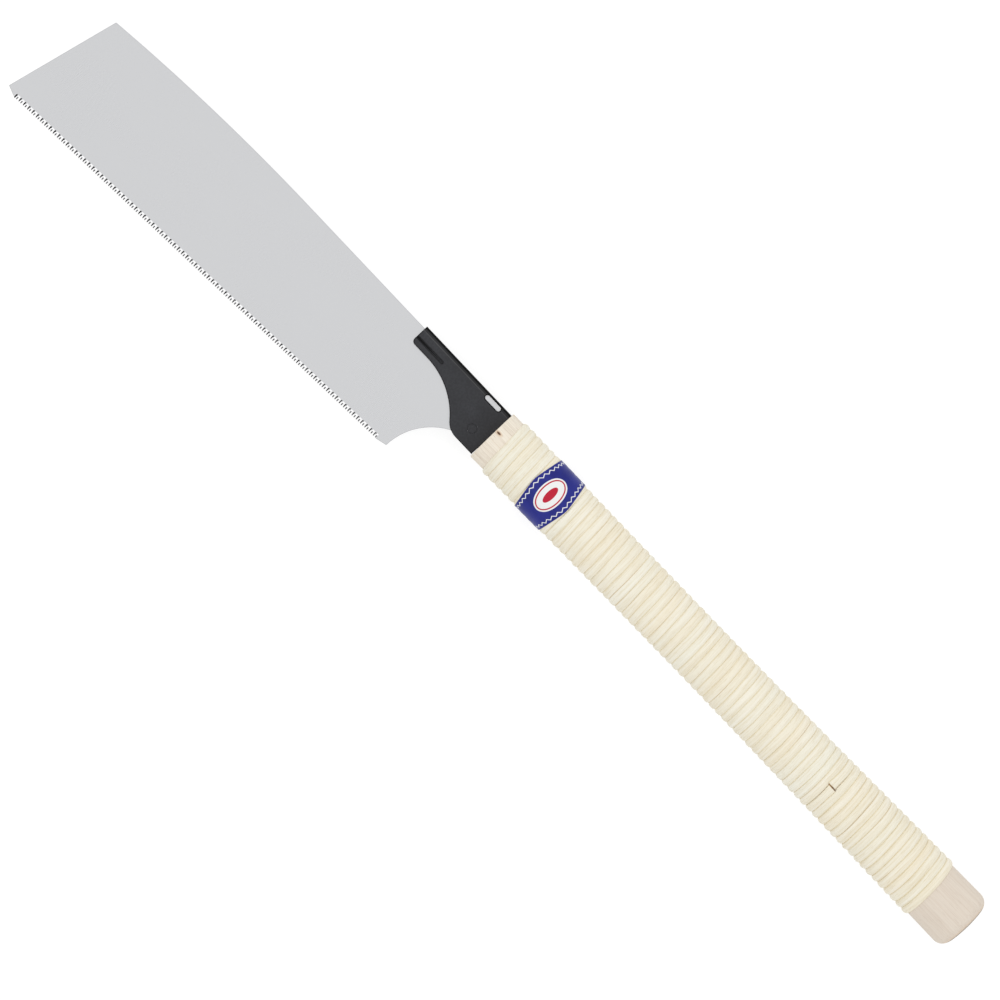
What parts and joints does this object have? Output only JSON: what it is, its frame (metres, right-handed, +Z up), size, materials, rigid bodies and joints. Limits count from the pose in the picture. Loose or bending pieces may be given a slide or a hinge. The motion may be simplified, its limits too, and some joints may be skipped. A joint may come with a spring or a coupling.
{
  "type": "kataba saw",
  "caption": "Single-edge pull saw: a thin straight blade hooks over a pin in a folded steel holder, whose tang is pinned into a long oval wooden handle bound with rattan.",
  "frame": {"origin": "centre of the saw's bounding box on the plane that it lies on, under the handle wrapping", "axes": "+X from the blade's toe to the butt of the handle, +Y from the teeth to the blade's back, +Z up from the plane that the saw lies on"},
  "size_m": [0.6494, 0.0738, 0.0269],
  "materials": {
    "blade_steel": "fine satin grind, bright filed teeth",
    "black_steel": "satin black coating on sheet steel",
    "pin_steel": "plain drawn steel",
    "handle_wood": "sanded pale wood, unvarnished",
    "rattan": "bleached half-round rattan, semi-matte",
    "label_paper": "blue printed paper, slightly glossy"
  },
  "bodies": {
    "handle": {"blade_holder": "black_steel", "hook_pin": "black_steel", "handle_core": "handle_wood", "tang_pins": "pin_steel", "rattan_strip_1": "rattan", "rattan_strip_2": "rattan", "rattan_strip_3": "rattan", "rattan_strip_4": "rattan", "label": "label_paper"},
    "blade": {"saw_blade": "blade_steel"}
  },
  "joints": [
    {"name": "blade_swing", "type": "hinge", "parent": "handle", "child": "blade", "pos_m": [-0.03408, 0.01396, 0.01315], "axis": [0, 0, 1], "range_deg": [0, 35]}
  ]
}
